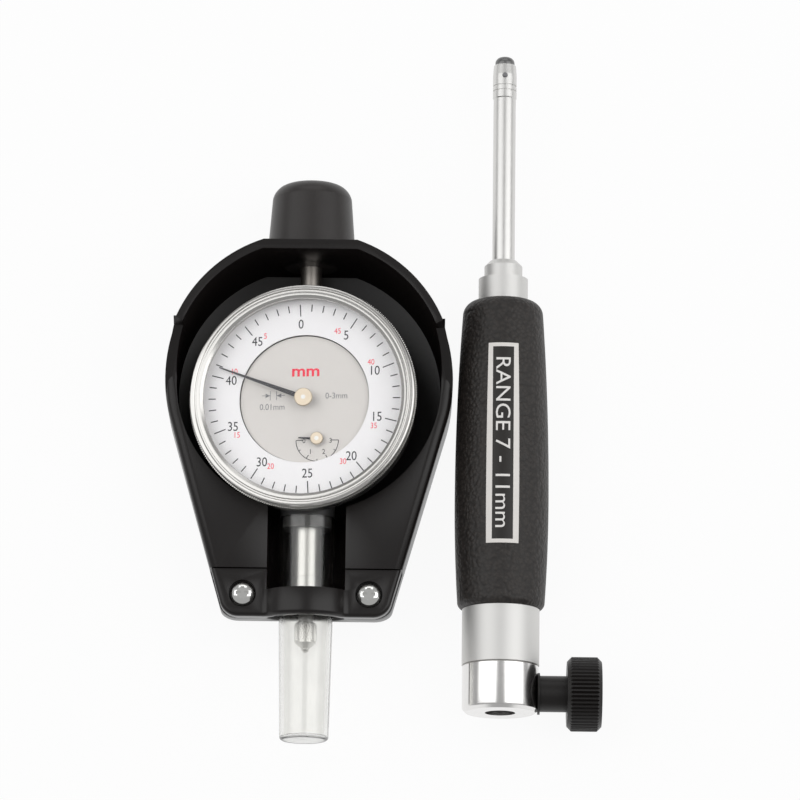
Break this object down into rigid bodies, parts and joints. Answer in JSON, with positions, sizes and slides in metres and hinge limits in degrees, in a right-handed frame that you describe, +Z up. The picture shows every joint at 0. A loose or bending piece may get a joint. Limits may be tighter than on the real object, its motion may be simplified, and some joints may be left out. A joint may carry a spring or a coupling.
{
  "type": "dial bore gauge",
  "caption": "Small dial bore gauge as two halves: a round dial indicator in a moulded shield with a clear tip guard, and a gripped handle with stem, bore head and lock knob.",
  "frame": {"origin": "centre of the bounding box on the surface that both halves lie on", "axes": "+Z up, +Y along both halves towards the bore head, +X from the dial to the handle"},
  "size_m": [0.1182, 0.1904, 0.0301],
  "materials": {
    "shield_plastic": "satin moulded black",
    "cap_plastic": "satin moulded black",
    "bright_steel": "polished",
    "ground_steel": "ground",
    "cast_case": "dark painted casting",
    "satin_aluminium": "satin turned",
    "clear_tube": "clear moulded plastic",
    "crystal_glass": "clear",
    "dial_white": "printed matt white",
    "dial_cream": "printed matt cream",
    "hand_dark": "blued",
    "pale_brass": "turned",
    "grip_rubber": "grained black",
    "label_foil": "black with white border",
    "knob_plastic": "black",
    "carbide": "ground"
  },
  "bodies": {
    "gauge": {"shield_housing": "shield_plastic", "clamp_bar": "shield_plastic", "top_cap": "cap_plastic", "clamp_screws": "bright_steel", "tip_guard": "clear_tube", "case": "cast_case", "back_cover": "cast_case", "back_screws": "ground_steel", "movement_plate": "pale_brass", "stem": "ground_steel", "dust_cap": "bright_steel", "dial_plate": "dial_cream", "clamp_collar": "bright_steel", "handle_core": "satin_aluminium", "grip": "grip_rubber", "label_plate": "label_foil", "nose_collar": "satin_aluminium", "stem_tube": "ground_steel", "measuring_head": "ground_steel", "head_plug": "carbide", "fixed_anvil": "carbide", "rod_guide": "pale_brass", "knob_washer": "knob_plastic"},
    "bezel_group": {"bezel": "bright_steel", "crystal": "crystal_glass", "scale_ring": "dial_white"},
    "main_hand": {"main_pointer": "hand_dark", "main_hub": "pale_brass", "main_arbor": "ground_steel"},
    "small_hand": {"small_pointer": "hand_dark", "small_hub": "pale_brass", "small_arbor": "ground_steel"},
    "plunger": {"spindle": "ground_steel", "contact_point": "ground_steel"},
    "rod": {"push_rod": "ground_steel"},
    "contact": {"moving_contact": "carbide"},
    "knob": {"lock_knob": "knob_plastic", "lock_screw": "ground_steel"}
  },
  "joints": [
    {"name": "bezel_turn", "type": "hinge", "parent": "gauge", "child": "bezel_group", "pos_m": [-0.02149, -0.00375, 0.02208], "axis": [-0.1219, 0, 0.9925], "continuous": true},
    {"name": "hand_turn", "type": "hinge", "parent": "gauge", "child": "main_hand", "pos_m": [-0.02149, -0.00375, 0.02208], "axis": [0.1219, 0, -0.9925], "range_deg": [0, 2160]},
    {"name": "small_hand_turn", "type": "hinge", "parent": "gauge", "child": "small_hand", "pos_m": [-0.0178, -0.01485, 0.02152], "axis": [-0.1219, 0, 0.9925], "range_deg": [0, 180]},
    {"name": "plunger_travel", "type": "slide", "parent": "gauge", "child": "plunger", "axis": [0, 1, 0], "range_m": [0, 0.003]},
    {"name": "rod_travel", "type": "slide", "parent": "gauge", "child": "rod", "axis": [0, -1, 0], "range_m": [0, 0.0008], "stiffness_N_per_m": 300},
    {"name": "contact_travel", "type": "slide", "parent": "gauge", "child": "contact", "axis": [0, 0, -1], "range_m": [0, 0.0008]},
    {"name": "knob_turn", "type": "hinge", "parent": "gauge", "child": "knob", "pos_m": [0.04702, -0.08185, 0.01267], "axis": [1, 0, 0], "range_deg": [0, 360]}
  ],
  "couplings": [
    {"joint": "hand_turn", "follows": "plunger_travel", "rad_per_m": 12566},
    {"joint": "small_hand_turn", "follows": "plunger_travel", "rad_per_m": 1047.2},
    {"joint": "contact_travel", "follows": "rod_travel", "ratio": 1}
  ]
}
